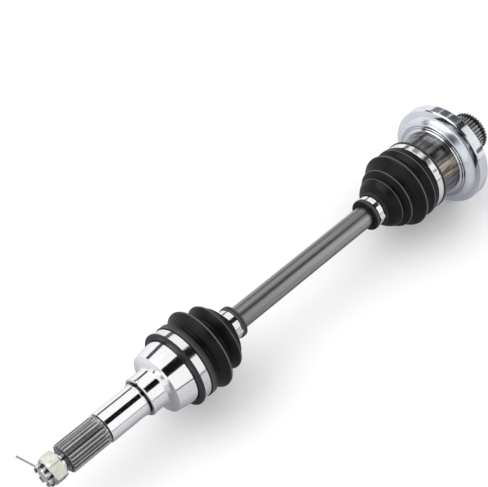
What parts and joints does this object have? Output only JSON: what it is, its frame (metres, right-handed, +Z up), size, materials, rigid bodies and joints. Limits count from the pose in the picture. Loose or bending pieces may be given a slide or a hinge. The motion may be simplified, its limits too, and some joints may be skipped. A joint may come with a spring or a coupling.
{
  "type": "cv axle",
  "caption": "Drive axle with a fixed ball joint, a plunging ball joint, rubber boots and splined stubs that carries torque to a driven wheel.",
  "frame": {"origin": "on the axle's centre line, at the middle of its overall length", "axes": "+X along the axle from the wheel nut to the gearbox stub, +Z up"},
  "size_m": [0.5594, 0.104, 0.104],
  "materials": {
    "satin_steel": "satin ground",
    "bright_steel": "polished",
    "dark_steel": "burnished, turned",
    "bearing_steel": "hardened and ground",
    "spring_steel": "blackened",
    "stainless": "bright rolled",
    "flange_zinc": "pale blue zinc plate",
    "nut_zinc": "clear zinc plate",
    "pin_wire": "plain wire",
    "boot_rubber": "satin moulded"
  },
  "bodies": {
    "shaft": {"shaft": "satin_steel", "outer_race": "bearing_steel", "outer_race_circlip": "spring_steel", "inner_race": "bearing_steel", "inner_race_circlip": "spring_steel", "outer_boot_small_clamp": "stainless", "inner_boot_small_clamp": "stainless"},
    "outer_cage": {"outer_cage": "spring_steel", "outer_ball_1": "bearing_steel", "outer_ball_2": "bearing_steel", "outer_ball_3": "bearing_steel", "outer_ball_4": "bearing_steel", "outer_ball_5": "bearing_steel", "outer_ball_6": "bearing_steel"},
    "wheel_joint": {"wheel_stub": "bright_steel", "castle_nut": "nut_zinc", "cotter_pin": "pin_wire", "outer_boot": "boot_rubber", "outer_boot_large_clamp": "stainless"},
    "inner_cage": {"inner_cage": "spring_steel", "inner_ball_1": "bearing_steel", "inner_ball_2": "bearing_steel", "inner_ball_3": "bearing_steel", "inner_ball_4": "bearing_steel", "inner_ball_5": "bearing_steel", "inner_ball_6": "bearing_steel"},
    "inner_boot": {"inner_boot": "boot_rubber"},
    "gearbox_joint": {"gearbox_cup": "dark_steel", "dust_flange": "flange_zinc", "cup_stop_ring": "spring_steel", "stub_circlip": "spring_steel", "inner_boot_large_clamp": "stainless"}
  },
  "joints": [
    {"name": "outer_swing", "type": "hinge", "parent": "shaft", "child": "outer_cage", "pos_m": [-0.134, 0, 0], "axis": [0, 0, 1], "range_deg": [-28, 28], "deforming": ["outer_boot"]},
    {"name": "outer_bend", "type": "hinge", "parent": "outer_cage", "child": "wheel_joint", "pos_m": [-0.134, 0, 0], "axis": [0, 1, 0], "range_deg": [-28, 28], "deforming": ["outer_boot"]},
    {"name": "inner_swing", "type": "hinge", "parent": "shaft", "child": "inner_cage", "pos_m": [0.2015, 0, 0], "axis": [0, 0, 1], "range_deg": [-16, 16], "deforming": ["inner_boot"]},
    {"name": "inner_bend", "type": "hinge", "parent": "inner_cage", "child": "inner_boot", "pos_m": [0.2015, 0, 0], "axis": [0, 1, 0], "range_deg": [-16, 16], "deforming": ["inner_boot"]},
    {"name": "plunge", "type": "slide", "parent": "inner_boot", "child": "gearbox_joint", "axis": [1, 0, 0], "range_m": [-0.01, 0.006], "deforming": ["inner_boot"]}
  ]
}
